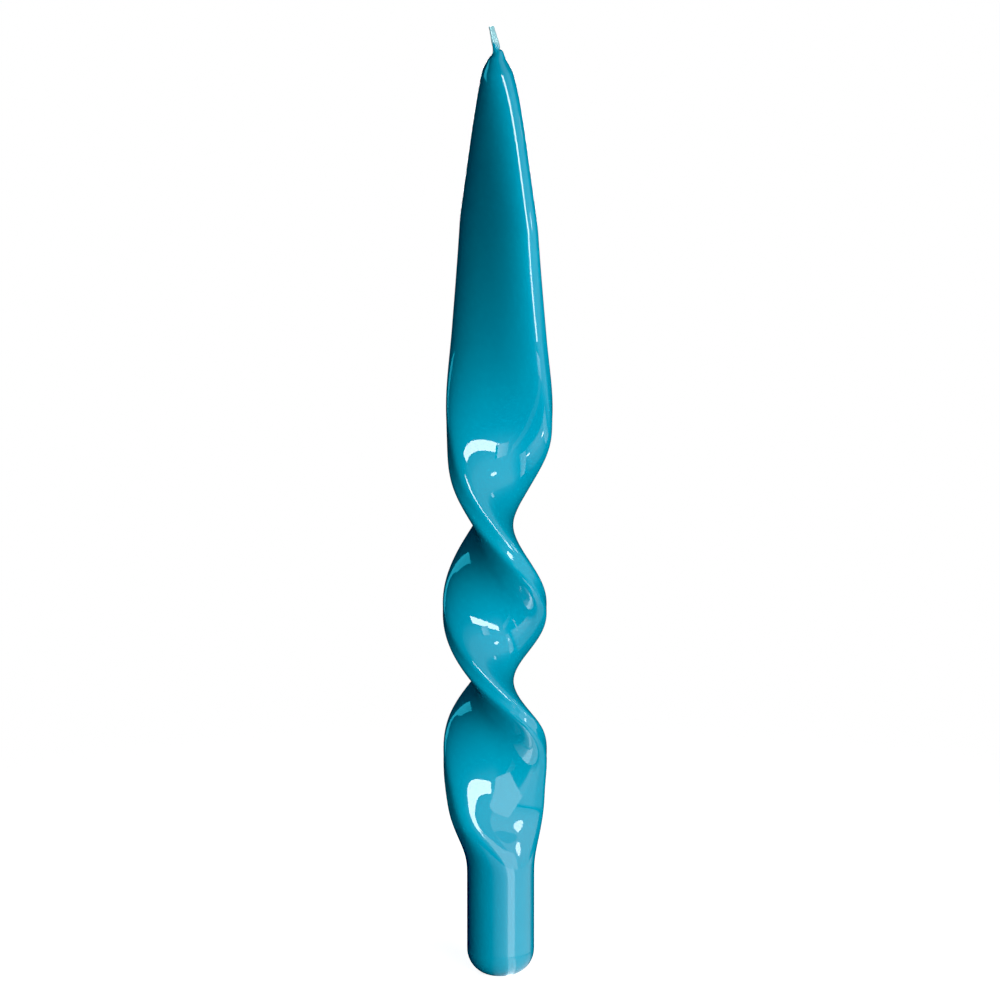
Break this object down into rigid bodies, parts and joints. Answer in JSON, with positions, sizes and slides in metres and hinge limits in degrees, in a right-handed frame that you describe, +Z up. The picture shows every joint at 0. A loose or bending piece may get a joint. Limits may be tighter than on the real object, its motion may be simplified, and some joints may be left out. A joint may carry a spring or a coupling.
{
  "type": "twisted taper candle",
  "caption": "Slender taper candle, rolled flat and twisted by hand above a round stem, under a coat of gloss lacquer, with a bare wick at its tip.",
  "frame": {"origin": "middle of the flat base, where the wick ends", "axes": "+Z up along the round stem, towards the wick's bare end; -Y is the side that the picture shows, and the blade's flat side is turned about 55 degrees to its left at the tip"},
  "size_m": [0.0349, 0.033, 0.3074],
  "materials": {
    "cotton": "braided cotton, soaked in pale dyed wax",
    "white_wax": "cut wax, satin",
    "dyed_wax": "cut dyed wax, satin",
    "lacquer": "high gloss"
  },
  "bodies": {
    "root": {"wick": "cotton", "wax_core": "white_wax", "dyed_overdip": "dyed_wax", "lacquer_coat": "lacquer"}
  },
  "joints": []
}
